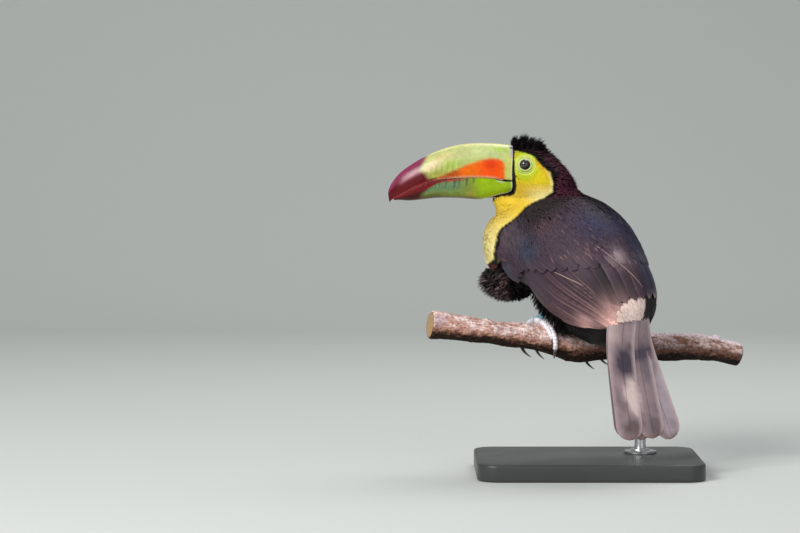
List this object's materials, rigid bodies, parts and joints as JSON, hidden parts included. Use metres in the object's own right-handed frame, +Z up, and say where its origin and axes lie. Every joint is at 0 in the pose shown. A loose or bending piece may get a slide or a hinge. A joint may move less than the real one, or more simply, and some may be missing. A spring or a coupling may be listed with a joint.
{
  "type": "keel-billed toucan",
  "caption": "Life-size still model of a keel-billed toucan gripping a cut length of branch, held over a flat base by one short rod.",
  "frame": {"origin": "centre of the stand base's underside, on the surface it stands on", "axes": "+Z up; the bill points along -X; +Y is the far side of the branch from the tail"},
  "size_m": [0.3785, 0.176, 0.354],
  "materials": {
    "black_plumage": "soft matt black feathers with a maroon cast on the nape",
    "yellow_plumage": "bright yellow short feathers of the face and bib",
    "wing_plumage": "slate and brown flight feathers with pale shafts",
    "tail_plumage": "mauve grey tail feathers with cream coverts",
    "bill_horn": "smooth horn, green with an orange flash and a crimson tip",
    "eye_ball": "wet dark brown eye",
    "leg_skin": "scaled blue leg skin",
    "toe_skin": "ringed pale toe skin and dark claws",
    "perch_bark": "rough weathered bark",
    "stand_paint": "satin dark paint",
    "stand_steel": "brushed"
  },
  "bodies": {
    "root": {"torso": "black_plumage", "neck": "yellow_plumage", "head": "yellow_plumage", "upper_bill": "bill_horn", "lower_bill": "bill_horn", "eye_left": "eye_ball", "eye_right": "eye_ball", "wing_left": "wing_plumage", "wing_right": "wing_plumage", "tail": "tail_plumage", "leg_left": "leg_skin", "leg_right": "leg_skin", "foot_left": "toe_skin", "foot_right": "toe_skin", "perch": "perch_bark", "stand_base": "stand_paint", "stand_rod": "stand_steel"}
  },
  "joints": []
}
